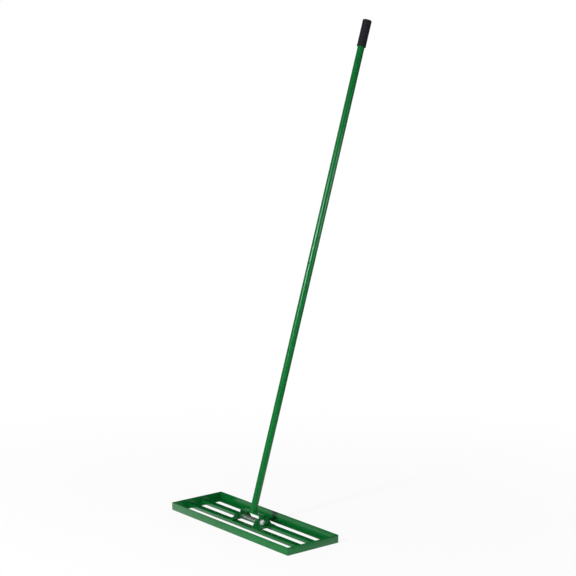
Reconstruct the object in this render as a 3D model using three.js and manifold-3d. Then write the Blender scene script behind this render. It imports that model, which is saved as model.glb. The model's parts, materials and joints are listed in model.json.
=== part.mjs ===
// Lawn leveling rake: an open steel head with a long handle that tilts on one pivot bolt.
// Millimetres. X runs along the head, +Y is the side the handle leans to, Z is up from the ground.
// The origin is the middle of the front rail's flat underside.
import * as THREE from 'three';
import { mergeVertices } from 'three/addons/utils/BufferGeometryUtils.js';
import Module from 'manifold-3d';

// Head frame: four lengths of angle with mitred ends.
const headLength = 762;
const headWidth = 254;
const angleSteel = 3.2;
const railHeight = 31.75;
const flangeWidth = 31.75;
const railRootRadius = 1.5;
const railToeRadius = 1.2;
const railHeelRadius = 0.8;

// Two cross slats, bent from sheet, split the opening of the frame into equal slots.
const slatCount = 2;
const slatWidth = 25.4;
const slatHeight = 14;
const slatSheet = 2;
const slatBendRadius = 2.6;

// Pivot bracket: two bent ears on the slats, and a bent strap yoke that swings between them.
const pivotHeight = 30.5;
const pivotForward = 4.5;
const yokeInsideWidth = 115;
const yokeSteel = 6;
const yokeStrapWidth = 29;
const yokeRise = 28.5;
const yokeBendRadius = 9;
const earSteel = 4;
const earFootReach = 29.5;
const earFootWidth = 96;
const earTopWidth = 64;
const earTopHeight = 43.5;
const earTopRadius = 11;
const earFootRadius = 5;
const earBendRadius = 5;

// Bolt, nut and washers.
const boltRadius = 6;
const boltTailLength = 1.8;
const boltTipChamfer = 1;
const hexAcrossFlats = 18;
const hexChamfer = 1.1;
const boltHeadHeight = 7.5;
const nutHexHeight = 6.5;
const nutCollarHeight = 2.5;
const nutCollarRadius = 8;
const nutCollarRounding = 1.4;
const washerRadius = 12;
const washerThickness = 1.6;
const washerEdge = 0.3;

// Handle: tubes that screw together end to end, with a ribbed rubber grip.
const handleLean = THREE.MathUtils.degToRad(16.88);
const handleReach = 2068.5;
const tubeCount = 3;
const tubeRadius = 14.3;
const tubeWall = 1.5;
const studRadius = 8;
const studLength = 22;
const studChamfer = 1.2;
const plugLength = 32;
const gripLength = 115;
const gripRadius = 18.8;
const gripEndThickness = 4;
const gripRounding = 2.4;
const gripCollarLength = 6;
const gripCollarRise = 0.6;
const gripRibs = 14;
const gripRibDepth = 1.1;
const ribCrestShare = 0.5;
const ribSlopeShare = 0.12;

// Clearance between pieces, and how far a cutting shape runs past what it cuts.
const fitGap = 0.3;
const overrun = 8;

// Smoothness of round shapes.
const bendSteps = 6;
const roundingSteps = 8;
const boltSegments = 48;
const tubeSegments = 64;
const hexSides = 6;
const halfTurn = Math.PI;
const quarterTurn = Math.PI / 2;

// Places that follow from the sizes above.
const slotWidth = (headWidth - 2 * flangeWidth - slatCount * slatWidth) / (slatCount + 1);
const slatSpacing = slotWidth + slatWidth;
const restCentre = (headWidth - flangeWidth) / 2;
const earInnerFace = yokeInsideWidth / 2 + yokeSteel + fitGap;
const earOuterFace = earInnerFace + earSteel;
const washerStart = earOuterFace + fitGap;
const nutStart = washerStart + washerThickness + fitGap;
const nutEnd = nutStart + nutHexHeight + nutCollarHeight;
const boltHoleRadius = boltRadius + fitGap;
const hexCornerRadius = hexAcrossFlats / 2 / Math.cos(Math.PI / hexSides);
const plugRadius = tubeRadius - tubeWall - fitGap;
const handleStart = yokeRise + fitGap;
const tubesEnd = handleReach - gripEndThickness - fitGap;
const tubePitch = (tubesEnd - handleStart + fitGap) / tubeCount;
const tubeLength = tubePitch - fitGap;

const greenPaint = { color: 0x0a5a26, roughness: 0.42, metalness: 0.1 };
const zincPlate = { color: 0xc3c9c8, roughness: 0.35, metalness: 0.9 };
const blackRubber = { color: 0x262529, roughness: 0.85, metalness: 0 };

const solids = await Module();
solids.setup();

// Weld a geometry's corners and hand it over as a closed solid for cutting.
function solidFrom(geometry) {
  const bare = geometry.clone();
  bare.deleteAttribute('normal');
  bare.deleteAttribute('uv');
  const welded = mergeVertices(bare);
  const corners = Array.from(welded.index.array);
  const faces = [];
  for (let at = 0; at < corners.length; at += 3) {
    const [a, b, c] = corners.slice(at, at + 3);
    if (a !== b && b !== c && c !== a) faces.push(a, b, c);
  }
  return new solids.Manifold(new solids.Mesh({
    numProp: 3,
    vertProperties: new Float32Array(welded.attributes.position.array),
    triVerts: new Uint32Array(faces),
  }));
}

function geometryFrom(solid) {
  const { vertProperties, triVerts } = solid.getMesh();
  const indexed = new THREE.BufferGeometry();
  indexed.setAttribute('position', new THREE.BufferAttribute(vertProperties, 3));
  indexed.setIndex(new THREE.BufferAttribute(triVerts, 1));
  const geometry = indexed.toNonIndexed();
  geometry.computeVertexNormals();
  return geometry;
}

// A closed outline from [across, up, radius] corners; each corner is rounded by its radius.
function roundedOutline(corners) {
  const outline = [];
  corners.forEach(([across, up, radius], index) => {
    const corner = new THREE.Vector2(across, up);
    const last = corners.at(index - 1);
    const next = corners[(index + 1) % corners.length];
    const back = new THREE.Vector2(last[0], last[1]).sub(corner).normalize();
    const ahead = new THREE.Vector2(next[0], next[1]).sub(corner).normalize();
    const halfAngle = Math.acos(back.dot(ahead)) / 2;
    if (radius === 0) {
      outline.push(corner);
      return;
    }
    const middle = back.clone().add(ahead).normalize();
    const centre = corner.clone().addScaledVector(middle, radius / Math.sin(halfAngle));
    const start = corner.clone().addScaledVector(back, radius / Math.tan(halfAngle)).sub(centre);
    const end = corner.clone().addScaledVector(ahead, radius / Math.tan(halfAngle)).sub(centre);
    const sweep = Math.atan2(start.cross(end), start.dot(end));
    for (let step = 0; step <= roundingSteps; step += 1) {
      const turn = sweep * step / roundingSteps;
      outline.push(start.clone().rotateAround(new THREE.Vector2(), turn).add(centre));
    }
  });
  return new THREE.Shape(outline);
}

// Extrude an outline by a length that is centred on its plane, then turn it to lie along X, Y or Z.
function extruded(outline, length) {
  const geometry = new THREE.ExtrudeGeometry(outline, { depth: length, bevelEnabled: false });
  return geometry.translate(0, 0, -length / 2);
}

// The outline's plane is Y, Z.
function alongX(outline, length) {
  return extruded(outline, length).rotateY(quarterTurn).rotateX(quarterTurn);
}

// The outline's plane is X, Z.
function alongY(outline, length) {
  return extruded(outline, length).rotateX(quarterTurn);
}

// Spin a profile of [radius, height] points about Z.
function spun(points, segments) {
  const profile = points.map(([radius, height]) => new THREE.Vector2(radius, height));
  return new THREE.LatheGeometry(profile, segments).rotateX(quarterTurn);
}

// A plain rod along X for cutting round holes, from one X to another.
function holeAlongX(radius, from, to) {
  return new THREE.CylinderGeometry(radius, radius, to - from, boltSegments)
    .rotateZ(quarterTurn)
    .translate((from + to) / 2, 0, 0);
}

// One rail of the head: an angle section on the -Y side, whose ends follow the mitre of the corner.
function angleRail(runLength, sideOffset) {
  const section = roundedOutline([
    [0, 0, railHeelRadius],
    [flangeWidth, 0, 0],
    [flangeWidth, angleSteel, railToeRadius],
    [angleSteel, angleSteel, railRootRadius],
    [angleSteel, railHeight, railToeRadius],
    [0, railHeight, 0],
  ]);
  const rail = alongX(section, runLength);
  const corners = rail.attributes.position;
  const mitreGap = fitGap / Math.SQRT2;
  for (let at = 0; at < corners.count; at += 1) {
    const inboard = corners.getY(at);
    const reach = runLength / 2 - inboard - mitreGap;
    corners.setX(at, Math.sign(corners.getX(at)) * reach);
  }
  return geometryFrom(solidFrom(rail.translate(0, -sideOffset, 0)));
}

// An inverted channel whose ends are coped to pass over the flanges of the end rails.
function crossSlat(centre) {
  const half = slatWidth / 2;
  const inner = half - slatSheet;
  const innerBend = slatBendRadius - slatSheet;
  const section = roundedOutline([
    [-half, 0, 0],
    [-inner, 0, 0],
    [-inner, slatHeight - slatSheet, innerBend],
    [inner, slatHeight - slatSheet, innerBend],
    [inner, 0, 0],
    [half, 0, 0],
    [half, slatHeight, slatBendRadius],
    [-half, slatHeight, slatBendRadius],
  ]);
  const wallFace = headLength / 2 - angleSteel;
  const copeStart = headLength / 2 - flangeWidth - fitGap;
  const copeHeight = angleSteel + fitGap;
  const rootStart = wallFace - railRootRadius - fitGap;
  const cope = roundedOutline([
    [copeStart, -overrun, 0],
    [wallFace, -overrun, 0],
    [wallFace, copeHeight + railRootRadius, 0],
    [rootStart, copeHeight, 0],
    [copeStart, copeHeight, 0],
  ]);
  const cut = solidFrom(alongY(cope, slatWidth + overrun));
  const channel = solidFrom(alongX(section, 2 * (wallFace - fitGap)));
  const coped = channel.subtract(cut).subtract(cut.rotate([0, 0, THREE.MathUtils.radToDeg(halfTurn)]));
  return geometryFrom(coped).translate(0, centre, 0);
}

// The right pivot ear: a bent plate cut to a bell outline, with its foot turned outward over the slats.
function pivotEar() {
  const footTop = slatHeight + earSteel;
  const footEnd = earOuterFace + earFootReach;
  const bend = roundedOutline([
    [earInnerFace, slatHeight, earBendRadius],
    [footEnd, slatHeight, 0],
    [footEnd, footTop, 0],
    [earOuterFace, footTop, earBendRadius - earSteel],
    [earOuterFace, earTopHeight, 0],
    [earInnerFace, earTopHeight, 0],
  ]);
  const bell = roundedOutline([
    [-earFootWidth / 2, -overrun, 0],
    [earFootWidth / 2, -overrun, 0],
    [earFootWidth / 2, footTop, 0],
    [earTopWidth / 2, earTopHeight, earTopRadius],
    [-earTopWidth / 2, earTopHeight, earTopRadius],
    [-earFootWidth / 2, footTop, 0],
  ]);
  const plan = roundedOutline([
    [0, -earFootWidth / 2, 0],
    [footEnd, -earFootWidth / 2, earFootRadius],
    [footEnd, earFootWidth / 2, earFootRadius],
    [0, earFootWidth / 2, 0],
  ]);
  const bellTool = solidFrom(alongX(bell, 2 * (footEnd + overrun)));
  const planTool = solidFrom(extruded(plan, 2 * (earTopHeight + overrun)));
  const hole = holeAlongX(boltHoleRadius, earInnerFace - overrun, earOuterFace + overrun)
    .translate(0, 0, pivotHeight);
  const ear = solidFrom(alongY(bend, earFootWidth)).intersect(bellTool).intersect(planTool);
  return geometryFrom(ear.subtract(solidFrom(hole)));
}

// The yoke in the handle's own frame: a strap bent to an upside-down U, with round ends about the bolt.
function strapYoke() {
  const inner = yokeInsideWidth / 2;
  const outer = inner + yokeSteel;
  const endRadius = yokeStrapWidth / 2;
  const strap = roundedOutline([
    [-outer, -endRadius, 0],
    [-inner, -endRadius, 0],
    [-inner, yokeRise - yokeSteel, yokeBendRadius - yokeSteel],
    [inner, yokeRise - yokeSteel, yokeBendRadius - yokeSteel],
    [inner, -endRadius, 0],
    [outer, -endRadius, 0],
    [outer, yokeRise, yokeBendRadius],
    [-outer, yokeRise, yokeBendRadius],
  ]);
  const ends = new THREE.Shape();
  ends.absarc(0, 0, endRadius, halfTurn, 2 * halfTurn, false);
  ends.lineTo(endRadius, yokeRise + overrun);
  ends.lineTo(-endRadius, yokeRise + overrun);
  const endTool = new THREE.Shape(ends.extractPoints(tubeSegments / 2).shape);
  const reach = outer + overrun;
  const yoke = solidFrom(alongY(strap, yokeStrapWidth)).intersect(solidFrom(alongX(endTool, 2 * reach)));
  return geometryFrom(yoke.subtract(solidFrom(holeAlongX(boltHoleRadius, -reach, reach))));
}

// A hexagonal blank along Z with its outer corners turned off at the top.
function hexBlank(height) {
  const prism = new THREE.CylinderGeometry(hexCornerRadius, hexCornerRadius, height, hexSides)
    .rotateX(quarterTurn)
    .translate(0, 0, height / 2);
  const turned = spun([
    [0, -overrun],
    [hexCornerRadius + overrun, -overrun],
    [hexCornerRadius + overrun, height - hexChamfer - overrun / 2],
    [hexAcrossFlats / 2 - hexChamfer / 2, height],
    [0, height],
  ], boltSegments);
  return solidFrom(prism).intersect(solidFrom(turned));
}

// The bolt lies along X with its head on the left, built upright from the underside of the head.
function pivotBolt() {
  const length = nutStart + nutEnd + boltTailLength;
  const shank = spun([
    [0, -boltHeadHeight / 2],
    [boltRadius, -boltHeadHeight / 2],
    [boltRadius, length - boltTipChamfer],
    [boltRadius - boltTipChamfer, length],
    [0, length],
  ], boltSegments);
  const head = hexBlank(boltHeadHeight).rotate([THREE.MathUtils.radToDeg(halfTurn), 0, 0]);
  return geometryFrom(head.add(solidFrom(shank)))
    .rotateY(quarterTurn)
    .translate(-nutStart, 0, pivotHeight);
}

// The lock nut: a hexagon with a plain round collar on its outer end.
function lockNut() {
  const collar = spun([
    [0, nutHexHeight - hexChamfer],
    [nutCollarRadius, nutHexHeight - hexChamfer],
    [nutCollarRadius, nutHexHeight + nutCollarHeight - nutCollarRounding],
    [nutCollarRadius - nutCollarRounding, nutHexHeight + nutCollarHeight],
    [0, nutHexHeight + nutCollarHeight],
  ], boltSegments);
  const bore = holeAlongX(boltHoleRadius, -overrun, nutHexHeight + nutCollarHeight + overrun)
    .rotateY(-quarterTurn);
  const nut = hexBlank(nutHexHeight).add(solidFrom(collar)).subtract(solidFrom(bore));
  return geometryFrom(nut).rotateY(quarterTurn).translate(nutStart, 0, pivotHeight);
}

// The flat washer on the right ear, lying along X, with softened edges.
function flatWasher() {
  const ring = spun([
    [boltHoleRadius, 0],
    [washerRadius - washerEdge, 0],
    [washerRadius, washerEdge],
    [washerRadius, washerThickness - washerEdge],
    [washerRadius - washerEdge, washerThickness],
    [boltHoleRadius, washerThickness],
    [boltHoleRadius, 0],
  ], boltSegments);
  return geometryFrom(solidFrom(ring.rotateY(quarterTurn))).translate(washerStart, 0, pivotHeight);
}

function handleTube(start) {
  const inside = tubeRadius - tubeWall;
  const tube = spun([
    [inside, 0],
    [tubeRadius, 0],
    [tubeRadius, tubeLength],
    [inside, tubeLength],
    [inside, 0],
  ], tubeSegments);
  return geometryFrom(solidFrom(tube)).translate(0, 0, start);
}

// A plug inside the upper end of a tube, with a stud that stands out of it.
function threadedStud(tubeTop) {
  const stud = spun([
    [0, -plugLength],
    [plugRadius - studChamfer, -plugLength],
    [plugRadius, studChamfer - plugLength],
    [plugRadius, 0],
    [studRadius, 0],
    [studRadius, studLength - studChamfer],
    [studRadius - studChamfer, studLength],
    [0, studLength],
  ], boltSegments);
  return geometryFrom(solidFrom(stud)).translate(0, 0, tubeTop);
}

// A sleeve inside the lower end of the next tube, which turns down over the stud.
function threadedSocket(tubeBottom) {
  const bore = studRadius + fitGap;
  const sleeve = spun([
    [bore + studChamfer, 0],
    [plugRadius, 0],
    [plugRadius, plugLength - studChamfer],
    [plugRadius - studChamfer, plugLength],
    [bore, plugLength],
    [bore, studChamfer],
    [bore + studChamfer, 0],
  ], boltSegments);
  return geometryFrom(solidFrom(sleeve)).translate(0, 0, tubeBottom);
}

// Radius and height of each point on the grip's side, from its open end to its closed end.
function gripSide() {
  const crest = gripRadius;
  const groove = gripRadius - gripRibDepth;
  const collar = gripRadius + gripCollarRise;
  const ribsStart = gripCollarLength + gripCollarRise;
  const ribsEnd = gripLength - gripCollarLength - gripCollarRise;
  const pitch = (ribsEnd - ribsStart) / gripRibs;
  const side = [[collar - gripCollarRise, 0], [collar, gripCollarRise], [collar, gripCollarLength]];
  for (let rib = 0; rib < gripRibs; rib += 1) {
    const start = ribsStart + rib * pitch;
    side.push([groove, start]);
    side.push([groove, start + pitch * (1 - ribCrestShare - 2 * ribSlopeShare)]);
    side.push([crest, start + pitch * (1 - ribCrestShare - ribSlopeShare)]);
    side.push([crest, start + pitch * (1 - ribSlopeShare)]);
  }
  side.push([groove, ribsEnd], [collar, gripLength - gripCollarLength], [collar, gripLength - gripRounding]);
  for (let step = 1; step <= bendSteps; step += 1) {
    const turn = quarterTurn * step / bendSteps;
    const inward = gripRounding * (1 - Math.cos(turn));
    side.push([collar - inward, gripLength - gripRounding * (1 - Math.sin(turn))]);
  }
  return side;
}

// The rubber sleeve: closed at the top, ribbed outside, open below for the tube.
function rubberGrip() {
  const bore = tubeRadius + fitGap;
  const depth = gripLength - gripEndThickness;
  const profile = [[0, depth], [bore, depth], [bore, 0], ...gripSide(), [0, gripLength]];
  const grip = spun(profile, tubeSegments);
  return geometryFrom(solidFrom(grip)).translate(0, 0, handleReach - gripLength);
}

function named(name, geometry, finish) {
  const mesh = new THREE.Mesh(geometry, new THREE.MeshStandardMaterial(finish));
  mesh.name = name;
  return mesh;
}

function turnedAboutZ(mesh, turn) {
  mesh.rotation.z = turn;
  return mesh;
}

function headGroup() {
  const head = new THREE.Group();
  head.add(named('front_rail', angleRail(headLength, headWidth / 2), greenPaint));
  head.add(turnedAboutZ(named('rear_rail', angleRail(headLength, headWidth / 2), greenPaint), halfTurn));
  head.add(turnedAboutZ(named('left_rail', angleRail(headWidth, headLength / 2), greenPaint), -quarterTurn));
  head.add(turnedAboutZ(named('right_rail', angleRail(headWidth, headLength / 2), greenPaint), quarterTurn));
  head.add(named('front_slat', crossSlat(-slatSpacing / 2), greenPaint));
  head.add(named('rear_slat', crossSlat(slatSpacing / 2), greenPaint));
  return head;
}

// What stays on the slats at the pivot: ears, bolt, nut and washers.
function bracketGroup() {
  const bracket = new THREE.Group();
  bracket.add(named('right_ear', pivotEar(), greenPaint));
  bracket.add(turnedAboutZ(named('left_ear', pivotEar(), greenPaint), halfTurn));
  bracket.add(named('right_washer', flatWasher(), zincPlate));
  bracket.add(turnedAboutZ(named('left_washer', flatWasher(), zincPlate), halfTurn));
  bracket.add(named('pivot_bolt', pivotBolt(), zincPlate));
  bracket.add(named('lock_nut', lockNut(), zincPlate));
  bracket.position.y = -pivotForward;
  return bracket;
}

function handleGroup() {
  const handle = new THREE.Group();
  handle.add(named('yoke', strapYoke(), greenPaint));
  const tubeNames = ['lower_tube', 'middle_tube', 'upper_tube'];
  tubeNames.forEach((name, index) => {
    handle.add(named(name, handleTube(handleStart + index * tubePitch), greenPaint));
  });
  const jointNames = ['lower', 'upper'];
  jointNames.forEach((name, index) => {
    const tubeBottom = handleStart + (index + 1) * tubePitch;
    handle.add(named(`${name}_stud`, threadedStud(tubeBottom - fitGap), zincPlate));
    handle.add(named(`${name}_socket`, threadedSocket(tubeBottom), zincPlate));
  });
  handle.add(named('grip', rubberGrip(), blackRubber));
  handle.position.set(0, -pivotForward, pivotHeight);
  handle.rotation.x = -handleLean;
  return handle;
}

const rake = new THREE.Group();
rake.name = 'lawn_leveling_rake';
rake.add(headGroup(), bracketGroup(), handleGroup());
rake.position.y = restCentre;

export default rake;
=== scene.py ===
# %% [markdown]
# # Lawn leveling rake
# This lesson dresses the finished solids of a leveling rake: an open steel head with two cross slats, a
# pivot bracket, a long tube handle and a rubber grip. Everything is in metres. X runs along the head,
# +Y is the side that the handle leans to, and Z is up. The solids are loaded first, and their shapes are
# never changed. Where a solid needs more detail, a copy or a new piece is made that stands for it.

# %% Load the frame
import json
from math import cos, degrees, pi, radians, sin, sqrt

import bpy
from mathutils import Matrix, Vector


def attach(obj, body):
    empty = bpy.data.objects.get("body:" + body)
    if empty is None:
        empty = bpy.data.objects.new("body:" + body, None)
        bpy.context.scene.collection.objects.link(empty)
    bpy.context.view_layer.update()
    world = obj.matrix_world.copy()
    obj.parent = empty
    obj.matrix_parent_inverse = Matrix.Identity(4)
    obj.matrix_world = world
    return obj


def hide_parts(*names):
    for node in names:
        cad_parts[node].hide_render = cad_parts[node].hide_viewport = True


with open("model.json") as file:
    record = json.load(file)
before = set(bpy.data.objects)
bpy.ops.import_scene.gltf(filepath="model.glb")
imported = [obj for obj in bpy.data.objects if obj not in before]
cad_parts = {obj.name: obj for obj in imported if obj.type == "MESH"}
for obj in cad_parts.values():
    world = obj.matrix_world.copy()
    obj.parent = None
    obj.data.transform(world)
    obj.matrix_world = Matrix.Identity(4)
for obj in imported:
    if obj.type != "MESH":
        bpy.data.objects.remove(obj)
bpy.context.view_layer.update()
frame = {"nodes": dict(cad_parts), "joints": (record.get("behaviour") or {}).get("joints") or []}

# %% [markdown]
# The camera stands to the right of the head's front, a little below the top of the handle, and looks
# slightly down. A wide lens from close by would bend the long handle out of proportion, so a long lens is
# used from far away. Its place was worked out from the corners of the head, a rectangle that was taken to be
# 0.762 by 0.254 m, a usual size for such rakes.

# %% Camera
CAMERA_PLACE = (4.8588, -3.6515, 1.9463)
CAMERA_LENS = 99.07
SENSOR_WIDTH = 36
DIP_DEGREES = 9.05
ROLL_DEGREES = -0.068
HEADING_DEGREES = 50.936

camera_data = bpy.data.cameras.new("studio_camera")
camera_data.lens = CAMERA_LENS
camera_data.sensor_width = SENSOR_WIDTH
camera = bpy.data.objects.new("studio_camera", camera_data)
bpy.context.scene.collection.objects.link(camera)
camera.location = CAMERA_PLACE
camera.rotation_euler = (radians(90 - DIP_DEGREES), radians(ROLL_DEGREES), radians(HEADING_DEGREES))
bpy.context.scene.camera = camera
print("camera at", tuple(round(v, 3) for v in camera.location))

# %% [markdown]
# Every finish in this lesson is a small tree of shader nodes. A tree could be built by hand in the shader
# editor, but in a script a few helpers keep it short: one starts an empty material, one adds a node and sets
# its inputs by name, one combines two values, and one eases a value from one result to another.

# %% Helpers for node trees
WHITE = (1, 1, 1, 1)


def new_material(name):
    """Start a material with an empty node tree, and hand over the tree's nodes and links too."""
    material = bpy.data.materials.new(name)
    material.use_nodes = True
    nodes = material.node_tree.nodes
    nodes.clear()
    return material, nodes, material.node_tree.links


def add_node(nodes, kind, inputs=None):
    """Add a shader node of a kind and set its inputs, given by name."""
    node = nodes.new("ShaderNode" + kind)
    for socket, value in (inputs or {}).items():
        node.inputs[socket].default_value = value
    return node


def combined(nodes, links, operation, one, other):
    """Combine two outputs with a Math node and return its result."""
    node = add_node(nodes, "Math")
    node.operation = operation
    links.new(one, node.inputs[0])
    links.new(other, node.inputs[1])
    return node.outputs[0]


def eased(nodes, links, value, span, results):
    """Ease from the first result to the second while a value crosses a span."""
    node = add_node(nodes, "MapRange", {"From Min": span[0], "From Max": span[1],
                                        "To Min": results[0], "To Max": results[1]})
    node.interpolation_type = "SMOOTHSTEP"
    links.new(value, node.inputs["Value"])
    return node.outputs["Result"]


print("node helpers:", [helper.__name__ for helper in (new_material, add_node, combined, eased)])

# %% [markdown]
# The rake stands on white paper in a plain studio. The paper bounces light up onto the upright faces of the
# head, which is why they look paler than the flat flanges. Lamps could make the paper white, but they would
# wash out the paint. So the paper glows white for the camera and in reflections only, with just enough of
# its own shading left near the rake to keep the shadow. In reflections it dims with distance, as the paper
# in a real studio ends.

# %% Floor paper
PAPER_TONE = (0.9, 0.9, 0.9, 1)
FLOOR_SHADE_SHARE = 0.09
SHADE_FADE = (0.5, 2.6)
FAR_FLOOR_GLOW = 0.12
GLOW_FADE = (0.7, 1.8)


def floor_paper():
    """White paper that glows for the camera and in reflections, and keeps a share of its shading."""
    material, nodes, links = new_material("floor_paper")
    place = add_node(nodes, "TexCoord")
    reach = add_node(nodes, "VectorMath")
    reach.operation = "LENGTH"
    links.new(place.outputs["Object"], reach.inputs[0])
    distance = reach.outputs["Value"]
    path = add_node(nodes, "LightPath")
    mirrored = add_node(nodes, "Mix", {"A": 1.0})
    mirrored.data_type = "FLOAT"
    links.new(path.outputs["Is Glossy Ray"], mirrored.inputs["Factor"])
    links.new(eased(nodes, links, distance, GLOW_FADE, (1.0, FAR_FLOOR_GLOW)), mirrored.inputs["B"])
    glow = add_node(nodes, "Emission", {"Color": WHITE})
    links.new(mirrored.outputs["Result"], glow.inputs["Strength"])
    seen = combined(nodes, links, "MAXIMUM", path.outputs["Is Camera Ray"], path.outputs["Is Glossy Ray"])
    seen = combined(nodes, links, "MAXIMUM", seen, path.outputs["Is Transmission Ray"])
    unshaded = eased(nodes, links, distance, SHADE_FADE, (1 - FLOOR_SHADE_SHARE, 1.0))
    paper = add_node(nodes, "BsdfDiffuse", {"Color": PAPER_TONE})
    mix = add_node(nodes, "MixShader")
    links.new(combined(nodes, links, "MULTIPLY", seen, unshaded), mix.inputs["Fac"])
    links.new(paper.outputs[0], mix.inputs[1])
    links.new(glow.outputs[0], mix.inputs[2])
    output = add_node(nodes, "OutputMaterial")
    links.new(mix.outputs[0], output.inputs["Surface"])
    return material


floor_finish = floor_paper()
print("floor material:", floor_finish.name)

# %% [markdown]
# The floor is one large plane. It lies half a millimetre below the head, so that the two never share a
# surface, which would flicker.

# %% Floor
FLOOR_SIDE = 60
FLOOR_PLACE = (0, 0.2, -0.0005)


def clear_selection():
    """Leave edit mode and deselect everything, so that an operator acts only on the piece in hand."""
    if bpy.context.object and bpy.context.object.mode != "OBJECT":
        bpy.ops.object.mode_set(mode="OBJECT")
    bpy.ops.object.select_all(action="DESELECT")


clear_selection()
bpy.ops.mesh.primitive_plane_add(size=FLOOR_SIDE, location=FLOOR_PLACE)
floor = bpy.context.object
floor.name = "studio_floor"
floor.data.materials.append(floor_finish)
print("floor side:", floor.dimensions.x, "m")

# %% [markdown]
# The world is the studio's ceiling and walls. The camera sees plain white, and a weak, even fill lights the
# paint. One white world for everything would be simpler, but glossy paint seen from a low angle would mirror
# it and turn grey. So in reflections the walls are black and only the ceiling glows a little, and flat faces
# keep their deep green.

# %% World
FILL_STRENGTH = 0.055
WALL_GLOW = 0.0
CEILING_GLOW = 0.2
CEILING_EDGE = (0.5, 0.9)


def studio_world():
    """White for the camera, a weak fill for the paint, and a dim ceiling over black walls in reflections."""
    world = bpy.data.worlds.new("studio_world")
    world.use_nodes = True
    nodes, links = world.node_tree.nodes, world.node_tree.links
    nodes.clear()
    path = add_node(nodes, "LightPath")
    white = add_node(nodes, "Background", {"Color": WHITE, "Strength": 1.0})
    fill = add_node(nodes, "Background", {"Color": WHITE, "Strength": FILL_STRENGTH})
    room = add_node(nodes, "Background", {"Color": WHITE})
    direction = add_node(nodes, "TexCoord")
    axes = add_node(nodes, "SeparateXYZ")
    links.new(direction.outputs["Generated"], axes.inputs[0])
    ceiling = eased(nodes, links, axes.outputs["Z"], CEILING_EDGE, (WALL_GLOW, CEILING_GLOW))
    links.new(ceiling, room.inputs["Strength"])
    lit = add_node(nodes, "MixShader")
    links.new(path.outputs["Is Glossy Ray"], lit.inputs["Fac"])
    links.new(fill.outputs[0], lit.inputs[1])
    links.new(room.outputs[0], lit.inputs[2])
    seen = combined(nodes, links, "MAXIMUM", path.outputs["Is Camera Ray"],
                    path.outputs["Is Transmission Ray"])
    shown = add_node(nodes, "MixShader")
    links.new(seen, shown.inputs["Fac"])
    links.new(lit.outputs[0], shown.inputs[1])
    links.new(white.outputs[0], shown.inputs[2])
    output = add_node(nodes, "OutputWorld")
    links.new(shown.outputs[0], output.inputs["Surface"])
    return world


bpy.context.scene.world = studio_world()
bpy.context.scene.view_settings.view_transform = "Standard"
print("world:", bpy.context.scene.world.name)

# %% [markdown]
# A key lamp in front throws the handle's shadow on the rear rail. Wide panels in front, at the right and
# behind fill in the other sides. A lamp that lights and also shows in reflections can't have both effects
# set apart, so each lamp here does one job. The key lamp and panels only light the paint. Two small strips
# only show in reflections, and they draw the long highlights on the tube.

# %% Lamps


def area_lamp(name, place, target, size, power):
    """A rectangular soft light that points from its place to a target."""
    data = bpy.data.lights.new(name, "AREA")
    data.shape = "RECTANGLE"
    data.size, data.size_y = size
    data.energy = power
    lamp = bpy.data.objects.new(name, data)
    bpy.context.scene.collection.objects.link(lamp)
    lamp.location = place
    lamp.rotation_euler = (Vector(target) - Vector(place)).to_track_quat("-Z", "Y").to_euler()
    return lamp


PANEL_SIZE = (2.5, 1.2)
STRIP_SIZE = (0.5, 0.6)
lighting_lamps = [
    area_lamp("key_lamp", place=(0.42, -3.7, 2.2), target=(0.0, 0.2, 0.3), size=(0.4, 0.4), power=174),
    area_lamp("front_panel", place=(-0.6, -4.0, 0.9), target=(0.0, 0.0, 0.3), size=PANEL_SIZE, power=50),
    area_lamp("side_panel", place=(4.0, 0.4, 0.8), target=(0.0, 0.2, 0.3), size=PANEL_SIZE, power=76),
    area_lamp("back_panel", place=(-3.0, 3.2, 0.9), target=(0.0, 0.2, 0.3), size=PANEL_SIZE, power=135),
]
for lamp in lighting_lamps:
    lamp.visible_glossy = False
mirrored_lamps = [
    area_lamp("left_strip", place=(0.42, -3.7, 2.66), target=(0.0, 0.3, 0.8), size=STRIP_SIZE, power=76),
    area_lamp("right_strip", place=(2.9, 1.15, 1.45), target=(0.0, 0.3, 0.8), size=STRIP_SIZE, power=16),
]
for lamp in mirrored_lamps:
    lamp.visible_diffuse = False
print("lamps:", [lamp.name for lamp in lighting_lamps + mirrored_lamps])

# %% [markdown]
# Real finishes are never even. Each one here starts from noise that is fixed to the piece, and the noise
# drives three things: the colour, the gloss and a very fine bump. Painted image textures could do this too,
# but noise needs no unwrapping and has no seams.

# %% Helpers for uneven finishes


def mottling(nodes, links, scale, detail):
    """A cloudy grey pattern that is fixed to the piece."""
    place = add_node(nodes, "TexCoord")
    cloud = add_node(nodes, "TexNoise", {"Scale": scale, "Detail": detail})
    links.new(place.outputs["Object"], cloud.inputs["Vector"])
    return cloud.outputs["Fac"]


def tint_by(nodes, links, pattern, shader, darkest, lightest, span=(0.0, 1.0)):
    """Colour a shader from the darkest to the lightest tone while a pattern crosses a span."""
    ramp = add_node(nodes, "ValToRGB")
    for stop, position, tone in zip(ramp.color_ramp.elements, span, (darkest, lightest)):
        stop.position = position
        stop.color = (*tone, 1)
    links.new(pattern, ramp.inputs["Fac"])
    links.new(ramp.outputs["Color"], shader.inputs["Base Color"])


def gloss_by(nodes, links, pattern, shader, smoothest, dullest):
    """Vary a shader's roughness with a pattern."""
    gloss = add_node(nodes, "MapRange", {"To Min": smoothest, "To Max": dullest})
    links.new(pattern, gloss.inputs["Value"])
    links.new(gloss.outputs["Result"], shader.inputs["Roughness"])


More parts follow.
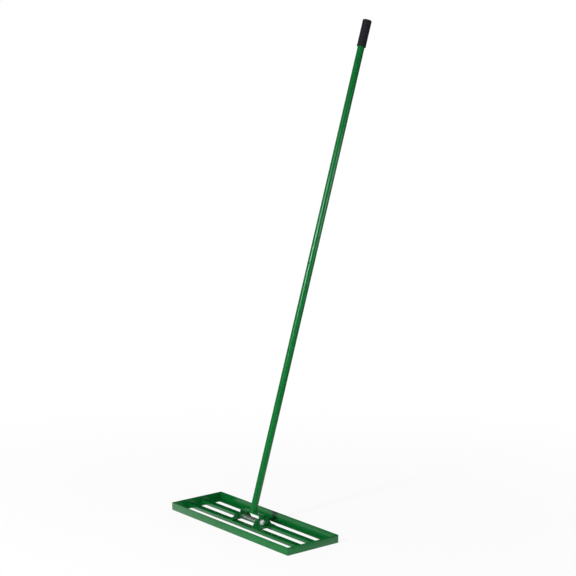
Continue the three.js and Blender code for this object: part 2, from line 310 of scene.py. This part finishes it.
def bump_by(nodes, links, pattern, shader, strength, depth):
    """Raise and sink a shader's surface a little with a pattern."""
    bump = add_node(nodes, "Bump", {"Strength": strength, "Distance": depth})
    links.new(pattern, bump.inputs["Height"])
    links.new(bump.outputs["Normal"], shader.inputs["Normal"])


def surface_shader(nodes, links, inputs=None):
    """A Principled shader that is wired to the material's output."""
    shader = add_node(nodes, "BsdfPrincipled", inputs)
    output = add_node(nodes, "OutputMaterial")
    links.new(shader.outputs[0], output.inputs["Surface"])
    return shader


print("finish helpers:", [helper.__name__ for helper in (
    mottling, tint_by, gloss_by, bump_by, surface_shader)])

# %% [markdown]
# The steel is powder coated: a thick satin green skin, baked on, with a fine orange-peel texture. A single
# green would look like plastic. Broad noise shifts the tone and the gloss a little, and fine noise drives
# the bump. The highlights have a faint green cast, as in the photo.

# %% Paint
PAINT_GREEN = (0.0028, 0.117, 0.0215)
TONE_SHIFT = 0.07
PAINT_GLINT = (0.8, 1.0, 0.97, 1)


def powder_coat(name):
    """A satin green skin whose tone and gloss drift a little, over a fine orange peel."""
    material, nodes, links = new_material(name)
    skin = surface_shader(nodes, links, {
        "Metallic": 0.0, "Specular IOR Level": 0.47, "Specular Tint": PAINT_GLINT})
    broad = mottling(nodes, links, scale=9, detail=4)
    darkest = tuple(c * (1 - TONE_SHIFT) for c in PAINT_GREEN)
    lightest = tuple(c * (1 + TONE_SHIFT) for c in PAINT_GREEN)
    tint_by(nodes, links, broad, skin, darkest, lightest, span=(0.3, 0.7))
    gloss_by(nodes, links, broad, skin, smoothest=0.2, dullest=0.26)
    peel = mottling(nodes, links, scale=650, detail=2)
    bump_by(nodes, links, peel, skin, strength=0.12, depth=0.0003)
    return material


green_paint = powder_coat("green_powder_coat")
print("paint:", green_paint.name)

# %% [markdown]
# The bolt, nut and washers are zinc plated: a pale, slightly green metal with cloudy patches from the bath.
# One plating for all of them would be simplest, but the pieces differ. The bolt's is bare and mirror-like,
# and shows the dark bracket round it. Its tones are also darker than the nut's, and that darkening is
# painted shade for the shank, which sits deep in the bracket. The nut and washers have a milkier coat, less
# like a mirror. The threaded pieces inside the tubes match the nut.

# %% Zinc


def zinc_plating(name, metal_share, darkest, lightest):
    """Cloudy zinc. The larger the metal share, the more it is like a mirror."""
    material, nodes, links = new_material(name)
    metal = surface_shader(nodes, links, {"Metallic": metal_share})
    cloud = mottling(nodes, links, scale=160, detail=5)
    tint_by(nodes, links, cloud, metal, darkest, lightest, span=(0.35, 0.65))
    gloss_by(nodes, links, cloud, metal, smoothest=0.18, dullest=0.32)
    bump_by(nodes, links, cloud, metal, strength=0.1, depth=0.0001)
    return material


zinc = zinc_plating("zinc_milky", 0.45, (0.58, 0.66, 0.62), (0.84, 0.90, 0.87))
# The bolt's copy of the zinc is darker than the nut's: painted shade for the shank. Its higher metal share is
# real.
shaded_bolt_plating = zinc_plating("mirror_zinc_painted_shade", 0.88, (0.46, 0.54, 0.50), (0.74, 0.82, 0.78))
print("platings:", zinc.name, shaded_bolt_plating.name)

# %% [markdown]
# The ring in the lock nut is nylon, a dull milky plastic. It is only a sliver, so a plain plastic shader
# with a little fine noise is enough, and nothing is gained from light that passes through it.

# %% Nylon


def nylon():
    """Dull, milky plastic."""
    material, nodes, links = new_material("nylon_insert")
    plastic = surface_shader(nodes, links)
    haze = mottling(nodes, links, scale=400, detail=2)
    tint_by(nodes, links, haze, plastic, (0.62, 0.63, 0.60), (0.80, 0.80, 0.76))
    gloss_by(nodes, links, haze, plastic, smoothest=0.34, dullest=0.48)
    bump_by(nodes, links, haze, plastic, strength=0.15, depth=0.0001)
    return material


nylon_white = nylon()
print("plastic:", nylon_white.name)

# %% [markdown]
# The grip is moulded rubber, almost black with a faint blue cast. Pure black would hide its ribs, so the
# colour stays a little above it. Moulded rubber has a dull, even skin with a very fine grain, which one
# fine noise gives in tone, gloss and bump.

# %% Rubber


def grip_rubber():
    """Dull, almost black rubber with a very fine grain."""
    material, nodes, links = new_material("grip_rubber")
    rubber = surface_shader(nodes, links, {"Specular IOR Level": 0.25})
    grain = mottling(nodes, links, scale=1400, detail=3)
    tint_by(nodes, links, grain, rubber, (0.0095, 0.0102, 0.0135), (0.0135, 0.0142, 0.0185))
    gloss_by(nodes, links, grain, rubber, smoothest=0.5, dullest=0.7)
    bump_by(nodes, links, grain, rubber, strength=0.2, depth=0.0002)
    return material


black_rubber = grip_rubber()
print("rubber:", black_rubber.name)

# %% [markdown]
# The rails, slats, ears and yoke already have their true shapes, so modelling them again would only bring
# errors. Real cut and coated steel has no knife edges, though, and the coating rounds every corner a little.
# So each solid is copied, its loose triangles are joined, its flat faces are merged, and a narrow bevel
# rounds its edges. The copy then stands for the solid.

# %% Coated steel with soft edges
JOIN_DISTANCE = 0.00001
FLAT_LIMIT = radians(0.5)
EDGE_LIMIT = radians(40)
SMOOTH_LIMIT = radians(30)
COATED_EDGE = 0.0005
COATED_NODES = {
    "front_rail": "head", "rear_rail": "head", "left_rail": "head", "right_rail": "head",
    "front_slat": "head", "rear_slat": "head", "left_ear": "head", "right_ear": "head",
    "yoke": "handle",
}


def soft_edged_copy(node_name, name, edge, material):
    """Copy a solid under a new name, join its triangles, round its edges and coat it."""
    piece = bpy.data.objects.new(name, frame["nodes"][node_name].data.copy())
    bpy.context.scene.collection.objects.link(piece)
    clear_selection()
    piece.select_set(True)
    bpy.context.view_layer.objects.active = piece
    if piece.data.has_custom_normals:
        bpy.ops.mesh.customdata_custom_splitnormals_clear()
    bpy.ops.object.mode_set(mode="EDIT")
    bpy.ops.mesh.select_all(action="SELECT")
    bpy.ops.mesh.remove_doubles(threshold=JOIN_DISTANCE)
    bpy.ops.mesh.dissolve_limited(angle_limit=FLAT_LIMIT)
    bpy.ops.object.mode_set(mode="OBJECT")
    rounding = piece.modifiers.new("rounding", "BEVEL")
    rounding.width = edge
    rounding.segments = 2
    rounding.limit_method = "ANGLE"
    rounding.angle_limit = EDGE_LIMIT
    bpy.ops.object.modifier_apply(modifier="rounding")
    bpy.ops.object.shade_smooth_by_angle(angle=SMOOTH_LIMIT)
    piece.data.materials.clear()
    piece.data.materials.append(material)
    return piece


for node_name, body in COATED_NODES.items():
    piece = soft_edged_copy(node_name, node_name + "_coated", COATED_EDGE, green_paint)
    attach(piece, body)
    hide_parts(node_name)
    print(piece.name, len(piece.data.polygons), "faces")

# %% [markdown]
# The handle's pieces are all turned about one line, which leans back from the pivot bolt. A ready cylinder
# has no lips or ribs, so a turned piece is built as on a lathe: a ring of points is extruded step by step
# along the line and resized at each step, and the last ring is bridged to the first, which leaves no hole.
# It is shaped upright, where the numbers are easy to read, and then leaned into place.

# %% Turned pieces
PIVOT = Vector(frame["joints"][0]["pos_m"])
HANDLE_LEAN = radians(16.88)
LEAN = Matrix.Translation(PIVOT) @ Matrix.Rotation(-HANDLE_LEAN, 4, "X")
SAME_PLACE = 1e-6
TURNED_SMOOTH_LIMIT = radians(40)


def turned_piece(name, profile, segments, placing, material, body):
    """Extrude and resize a ring through a closed list of (radius, height) points."""
    clear_selection()
    radius, height = profile[0]
    bpy.ops.mesh.primitive_circle_add(vertices=segments, radius=radius, location=(0, 0, height))
    piece = bpy.context.object
    piece.name = name
    bpy.ops.object.transform_apply(location=True, rotation=True, scale=True)
    bpy.ops.object.mode_set(mode="EDIT")
    bpy.ops.mesh.select_all(action="SELECT")
    for next_radius, next_height in profile[1:]:
        rise = next_height - height
        bpy.ops.mesh.extrude_region_move(TRANSFORM_OT_translate={"value": (0, 0, rise)})
        share = next_radius / radius
        bpy.ops.transform.resize(value=(share, share, 1), center_override=(0, 0, 0))
        radius, height = next_radius, next_height
    bpy.ops.object.mode_set(mode="OBJECT")
    for vertex in piece.data.vertices:
        reach = sqrt(vertex.co.x ** 2 + vertex.co.y ** 2)
        vertex.select = any(abs(reach - r) < SAME_PLACE and abs(vertex.co.z - z) < SAME_PLACE
                            for r, z in (profile[0], profile[-1]))
    bpy.ops.object.mode_set(mode="EDIT")
    bpy.ops.mesh.select_mode(type="VERT")
    bpy.ops.mesh.bridge_edge_loops()
    bpy.ops.mesh.select_all(action="SELECT")
    bpy.ops.mesh.normals_make_consistent(inside=False)
    bpy.ops.object.mode_set(mode="OBJECT")
    bpy.ops.object.shade_smooth_by_angle(angle=TURNED_SMOOTH_LIMIT)
    piece.data.transform(placing)
    piece.data.materials.append(material)
    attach(piece, body)
    return piece


print("the handle leans", round(degrees(HANDLE_LEAN), 2), "degrees from upright about", tuple(PIVOT))

# %% [markdown]
# Three tubes make the handle. The photo shows no seam, but long handles of this kind are usually shipped in
# sections, so the three tubes are a guess, and they meet in hairline seams. Plain cylinders would give the
# same straight tubes, but here each end is broken by a small chamfer so that the coating doesn't chip, so
# they are turned. A hundred and twelve sides keep the long highlights smooth.

# %% Handle tubes
TUBE_RADIUS = 0.0143
TUBE_WALL = 0.0015
TUBE_BORE = TUBE_RADIUS - TUBE_WALL
TUBE_LIP = 0.0004
TUBE_SIDES = 112


def along_handle(node_name):
    """Lowest and highest distance of a handle piece from the pivot, measured along the handle."""
    corners = [LEAN.inverted() @ v.co for v in frame["nodes"][node_name].data.vertices]
    return min(c.z for c in corners), max(c.z for c in corners)


for node_name in ("lower_tube", "middle_tube", "upper_tube"):
    low, high = along_handle(node_name)
    profile = [
        (TUBE_BORE, low), (TUBE_RADIUS - TUBE_LIP, low), (TUBE_RADIUS, low + TUBE_LIP),
        (TUBE_RADIUS, high - TUBE_LIP), (TUBE_RADIUS - TUBE_LIP, high), (TUBE_BORE, high),
    ]
    tube = turned_piece(node_name + "_coated", profile, TUBE_SIDES, LEAN, green_paint,
                        "handle")
    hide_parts(node_name)
    print(tube.name, "from", round(low, 4), "to", round(high, 4), "m along the handle")

# %% [markdown]
# Welds hold the head together. They are too small for the photo to show, so they are guessed from how such
# frames are usually built. A weld bead is a row of overlapping, slightly flattened drops of steel, laid one
# after another. A smooth rod in the corner would look like glue. So each drop is a squashed sphere, and the
# row is joined, fused into one skin with a remesh and smoothed a little.

# %% Drops of weld


def add_drop(row, place, radius, segments, rings, stretch):
    """Add one stretched sphere to a row of drops, or start the row with it."""
    bpy.ops.mesh.primitive_uv_sphere_add(segments=segments, ring_count=rings, radius=radius, location=place)
    drop = bpy.context.object
    drop.scale = stretch
    if row is None:
        return drop
    row.select_set(True)
    bpy.context.view_layer.objects.active = row
    bpy.ops.object.join()
    return row


def fuse_drops(row, name, skin_size, smoothings):
    """Fuse a row of drops into one smooth closed skin, and paint it."""
    bpy.ops.object.transform_apply(location=True, rotation=True, scale=True)
    skin = row.modifiers.new("skin", "REMESH")
    skin.mode = "VOXEL"
    skin.voxel_size = skin_size
    bpy.ops.object.modifier_apply(modifier="skin")
    soften = row.modifiers.new("soften", "SMOOTH")
    soften.iterations = smoothings
    bpy.ops.object.modifier_apply(modifier="soften")
    bpy.ops.object.shade_smooth()
    row.name = name
    row.data.materials.append(green_paint)
    return row


print("weld helpers:", [helper.__name__ for helper in (add_drop, fuse_drops)])

# %% [markdown]
# A straight bead is shaped along X about the origin, where it is easy to measure. Drops of one size would
# look like a string of pearls, so they swell and wander a little, as by hand. Random numbers could do that,
# but waves with odd steps come out the same in every run. Each kind of bead is made once, to be copied and
# rolled to the angle of its corner.

# %% Weld beads
BEAD_SKIN = 0.0005
DROP_SPACING = 0.8       # in radii, so that neighbouring drops overlap
DROP_LENGTH = 0.95
DROP_SWELL, DROP_WANDER = 0.06, 0.05
SWELL_STEP, WANDER_STEP = 2.4, 1.7


def weld_bead(name, length, radius, flatness=0.7):
    """A straight bead along X about the origin. Its drops swell and wander a little, as by hand."""
    clear_selection()
    drops = max(3, round(length / (radius * DROP_SPACING)))
    step = (length - 2 * radius) / (drops - 1)
    row = None
    for number in range(drops):
        swell = 1 + DROP_SWELL * sin(number * SWELL_STEP)
        wander = DROP_WANDER * radius * sin(number * WANDER_STEP)
        place = (-length / 2 + radius + number * step, wander, 0)
        stretch = (DROP_LENGTH, swell, flatness * swell)
        row = add_drop(row, place, radius, segments=20, rings=12, stretch=stretch)
    return fuse_drops(row, name, BEAD_SKIN, smoothings=2)


corner_pattern = weld_bead("corner_bead", length=0.0255, radius=0.0021)
mitre_pattern = weld_bead("mitre_bead", length=0.036, radius=0.0019, flatness=0.42)
cap_pattern = weld_bead("cap_bead", length=0.0311, radius=0.0013, flatness=1.0)
side_pattern = weld_bead("slat_side_bead", length=0.0265, radius=0.0019)
end_pattern = weld_bead("slat_end_bead", length=0.021, radius=0.0017)
foot_pattern = weld_bead("foot_bead", length=0.028, radius=0.0018)
patterns = (corner_pattern, mitre_pattern, cap_pattern, side_pattern, end_pattern, foot_pattern)
print("beads:", [(pattern.name, len(pattern.data.polygons)) for pattern in patterns])

# %% [markdown]
# A bead that was shaped at the origin has to be laid in its corner. It could be turned with rotate operators,
# but angles about three axes are easy to get wrong. Two directions are plain to read: the one that the bead
# runs along, and the one that its crown faces. A matrix made from them moves the copy's own points, so the
# finished bead itself stays unturned at the origin.

# %% Laying a bead


def turn_to(x_axis, z_axis, place):
    """A matrix that lays X along one direction, Z near another, with its origin at a place."""
    x = Vector(x_axis).normalized()
    y = Vector(z_axis).cross(x).normalized()
    z = x.cross(y)
    turned = Matrix((x, y, z)).transposed().to_4x4()
    turned.translation = Vector(place)
    return turned


def place_bead(pattern, name, x_axis, z_axis, place):
    """Copy a bead, lay it along x_axis with its crown towards z_axis, and fix it to the head."""
    bead = bpy.data.objects.new(name, pattern.data.copy())
    bpy.context.scene.collection.objects.link(bead)
    bead.data.transform(turn_to(x_axis, z_axis, place))
    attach(bead, "head")
    return bead


upright = turn_to((0, 0, 1), (1, 0, 0), (0, 0, 0))
print("a bead along X, stood upright, runs along", tuple(upright @ Vector((1, 0, 0))))

# %% [markdown]
# Four angle irons meet in mitred corners. Each corner is welded three times: inside its upright edge, along
# the mitre of the flanges, and down the outside, where the bead is thin because it is ground flush. The
# twelve places could be typed in one by one, but a loop with mirrored signs keeps the four corners alike.

# %% Corner welds
HEAD_MIDDLE = 0.111125
HEAD_HALF_LENGTH, HEAD_HALF_WIDTH = 0.381, 0.127
WALL_X, WALL_Y = 0.3778, 0.1238
FLANGE_X, FLANGE_Y = 0.34925, 0.09525
FLANGE_TOP = 0.0032
RAIL_TOP = 0.03175
CORNER_SINK = 0.0003
CORNER_WELD_HEIGHT = 0.0165
MITRE_SINK = 0.0001
CAP_INSET = 0.00145

corner_welds = []
for side_x in (-1, 1):
    for side_y in (-1, 1):
        tag = ("left" if side_x < 0 else "right") + ("_front" if side_y < 0 else "_rear")
        inward = (-side_x, -side_y, 0)
        inside = (side_x * (WALL_X - CORNER_SINK), HEAD_MIDDLE + side_y * (WALL_Y - CORNER_SINK),
                  CORNER_WELD_HEIGHT)
        corner_welds.append(place_bead(corner_pattern, "corner_weld_" + tag, (0, 0, 1), inward, inside))
        mitre = (side_x * (FLANGE_X + WALL_X) / 2, HEAD_MIDDLE + side_y * (FLANGE_Y + WALL_Y) / 2,
                 FLANGE_TOP - MITRE_SINK)
        corner_welds.append(place_bead(mitre_pattern, "mitre_weld_" + tag, (side_x, side_y, 0),
                                       (0, 0, 1), mitre))
        outside = (side_x * (HEAD_HALF_LENGTH - CAP_INSET),
                   HEAD_MIDDLE + side_y * (HEAD_HALF_WIDTH - CAP_INSET), RAIL_TOP / 2)
        corner_welds.append(place_bead(cap_pattern, "ground_weld_" + tag, (0, 0, 1), inward, outside))
print("corner welds:", len(corner_welds))

# %% [markdown]
# Each slat end rests on an end rail's flange. It is welded there along both of its sides and across its end.
# Under the ears, a short bead joins each foot to each slat, on the side that faces the middle slot. Each
# bead could be modelled in its place, but beads of one kind look alike, so the same few are copied. The
# patterns that they were copied from are then removed.

# %% Slat and ear welds
SLAT_MIDDLE = 0.03598
SLAT_HALF = 0.0127
SLAT_TOP = 0.014
SLAT_WELD_X, SLAT_END_X = 0.3635, 0.3776
FOOT_NEAR, FOOT_FAR = 0.0660, 0.0970
FOOT_WELD_X = (FOOT_NEAR + FOOT_FAR) / 2
WELD_OFFSET = 0.0002
FOOT_WELD_DROP = 0.0004

slat_welds = []
for side_x in (-1, 1):
    side_tag = "left" if side_x < 0 else "right"
    for slat, side_y in (("front", -1), ("rear", 1)):
        for edge_tag, edge in (("outer", 1), ("inner", -1)):
            face = HEAD_MIDDLE + side_y * (SLAT_MIDDLE + edge * (SLAT_HALF + WELD_OFFSET))
            slat_welds.append(place_bead(
                side_pattern, f"slat_weld_{side_tag}_{slat}_{edge_tag}", (1, 0, 0),
                (0, side_y * edge, 1), (side_x * SLAT_WELD_X, face, FLANGE_TOP + WELD_OFFSET)))
        slat_welds.append(place_bead(
            end_pattern, f"slat_end_weld_{side_tag}_{slat}", (0, 1, 0), (-side_x, 0, 1),
            (side_x * SLAT_END_X, HEAD_MIDDLE + side_y * SLAT_MIDDLE, SLAT_TOP - WELD_OFFSET)))
        inner_face = HEAD_MIDDLE + side_y * (SLAT_MIDDLE - SLAT_HALF - WELD_OFFSET)
        slat_welds.append(place_bead(
            foot_pattern, f"foot_weld_{side_tag}_{slat}", (1, 0, 0), (0, -side_y, -1),
            (side_x * FOOT_WELD_X, inner_face, SLAT_TOP - FOOT_WELD_DROP)))
for pattern in patterns:
    bpy.data.objects.remove(pattern, do_unlink=True)
print("slat and ear welds:", len(slat_welds))

# %% [markdown]
# The tube stands on the bent strap of the yoke. The weld round its foot is a ring of the same drops. A torus
# would be too even, so small spheres are set round a circle, fused and smoothed, and leaned with the handle.

# %% Weld round the tube's foot
FOOT_RING = 0.0152
RING_HEIGHT = 0.0290
RING_DROPS = 34
RING_DROP_RADIUS = 0.0029
RING_SKIN = 0.0006
RING_SWELL_X, RING_SWELL_Z = 0.05, 0.06
RING_STEP_X, RING_STEP_Z = 2.1, 1.3

clear_selection()
ring = None
for number in range(RING_DROPS):
    angle = 2 * pi * number / RING_DROPS
    place = (FOOT_RING * cos(angle), FOOT_RING * sin(angle), RING_HEIGHT)
    stretch = (1 + RING_SWELL_X * sin(number * RING_STEP_X), 1,
               1 + RING_SWELL_Z * sin(number * RING_STEP_Z))
    ring = add_drop(ring, place, RING_DROP_RADIUS, segments=16, rings=10, stretch=stretch)
fuse_drops(ring, "tube_foot_weld", RING_SKIN, smoothings=3)
ring.data.transform(LEAN)
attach(ring, "handle")
print("ring weld faces:", len(ring.data.polygons))

# %% [markdown]
# The grip is a moulded sleeve pushed over the top of the tube. The photo shows only a faint texture on it, so
# its ribs are a guess: rounded rings that keep wet hands from slipping. A bump in the material could fake
# them, but they would vanish at the outline, so they are shaped. The profile goes up the outside past a
# smooth collar, rib by rib, over the rounded closed end, and back down the bore.

# %% Ribbed grip
GRIP_RADIUS = 0.0188
GRIP_BORE = 0.01432
GRIP_SIDES = 96
GRIP_TRIM_LOW, GRIP_TRIM_HIGH = 0.0020, 0.0008
GRIP_CAP = 0.0040
GRIP_CENTRE = 0.0004
GRIP_SHOULDER = 0.0052
GRIP_RIBS = 14
RIB_DEPTH = 0.0010
RIBS_START, RIBS_END = 0.0062, 0.0066
COLLAR_SHAPE = ((-0.0004, 0.0), (0.0001, 0.0006), (0.0001, 0.0054), (-0.0002, 0.0060))
RIB_SHAPE = ((0.06, 1.0), (0.16, 0.92), (0.26, 0.45), (0.38, 0.1),
             (0.53, 0.0), (0.68, 0.1), (0.80, 0.45), (0.90, 0.92))
SHOULDER_STEPS = (0.0, 0.15, 0.3, 0.45, 0.6, 0.8, 1.0)

solid_low, solid_high = along_handle("grip")
grip_low, grip_high = solid_low + GRIP_TRIM_LOW, solid_high - GRIP_TRIM_HIGH
profile = [(GRIP_BORE, grip_low)]
for rise, height in COLLAR_SHAPE:
    profile.append((GRIP_RADIUS + rise, grip_low + height))
first_rib, last_rib = grip_low + RIBS_START, grip_high - RIBS_END
rib_pitch = (last_rib - first_rib) / GRIP_RIBS
for rib in range(GRIP_RIBS):
    for share, sink in RIB_SHAPE:
        profile.append((GRIP_RADIUS - RIB_DEPTH * sink, first_rib + rib * rib_pitch + share * rib_pitch))
for step in SHOULDER_STEPS:
    turn = step * pi / 2
    profile.append((GRIP_RADIUS - GRIP_SHOULDER * (1 - cos(turn)),
                    grip_high - GRIP_SHOULDER * (1 - sin(turn))))
profile += [(GRIP_CENTRE, grip_high), (GRIP_CENTRE, grip_high - GRIP_CAP), (GRIP_BORE, grip_high - GRIP_CAP)]
ribbed = turned_piece("ribbed_grip", profile, GRIP_SIDES, LEAN, black_rubber, "handle")
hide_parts("grip")
print("grip ribs:", GRIP_RIBS, "length", round(grip_high - grip_low, 4), "m")

# %% [markdown]
# The bolt, nut and washers are pressed and rolled steel, so every edge is rounded, and sharp edges would
# show no glint. Their solids have the right shapes, so each is copied and its edges are bevelled, as on the
# coated pieces. Only the width of the bevel and the plating differ.

# %% Fasteners
FASTENERS = {
    "pivot_bolt": (0.0005, shaded_bolt_plating), "lock_nut": (0.0004, zinc),
    "left_washer": (0.00025, zinc), "right_washer": (0.00025, zinc),
}
for node_name, (edge, plating) in FASTENERS.items():
    piece = soft_edged_copy(node_name, node_name + "_plated", edge, plating)
    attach(piece, "head")
    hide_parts(node_name)
    print(piece.name, len(piece.data.polygons), "faces")

# %% [markdown]
# A nylon ring shows in the mouth of the nut, where it grips the thread and keeps the nut from working loose.
# It is turned like the handle's pieces, but about the bolt, so it is laid sideways instead of leaned.

# %% Nylon ring
NUT_END = 0.0790
RING_SIDES = 48
SIDEWAYS = Matrix.Translation(PIVOT) @ Matrix.Rotation(radians(90), 4, "Y")
NYLON_SHAPE = ((0.0061, -0.0012), (0.0066, -0.0012), (0.0066, 0.0001),
               (0.0064, 0.0002), (0.0062, 0.0002), (0.0061, 0.0001))

nylon_profile = [(radius, NUT_END + rise) for radius, rise in NYLON_SHAPE]
turned_piece("nut_nylon_ring", nylon_profile, RING_SIDES, SIDEWAYS, nylon_white, "head")
print("nylon ring at x =", NUT_END)

# %% [markdown]
# One turn of the bolt's thread shows past the nut. Between the yoke's legs only the plain shank is seen. A
# true thread is a helix, but over a single turn a V-shaped ring can't be told from it and is far simpler.

# %% Thread on the bolt's tail
THREAD_PLACE = 0.0799
THREAD_ROOT, THREAD_CREST = 0.0056, 0.00605
THREAD_ROOT_HALF, THREAD_CREST_HALF = 0.0005, 0.0001

thread_profile = [
    (THREAD_ROOT, THREAD_PLACE - THREAD_ROOT_HALF), (THREAD_CREST, THREAD_PLACE - THREAD_CREST_HALF),
    (THREAD_CREST, THREAD_PLACE + THREAD_CREST_HALF), (THREAD_ROOT, THREAD_PLACE + THREAD_ROOT_HALF),
]
turned_piece("bolt_thread_1", thread_profile, RING_SIDES, SIDEWAYS, shaded_bolt_plating, "head")
print("thread turn at x =", THREAD_PLACE)

# %% [markdown]
# The threaded plugs and sleeves that join the tubes are hidden inside them, and are as much a guess as the
# seams. New shapes would never be seen, so they keep their plain solids and only take the zinc finish.

# %% Zinc on the hidden pieces
HIDDEN_NODES = ("lower_stud", "lower_socket", "upper_stud", "upper_socket")
for node_name in HIDDEN_NODES:
    for material_slot in frame["nodes"][node_name].material_slots:
        material_slot.material = zinc
print("plated hidden pieces:", len(HIDDEN_NODES))
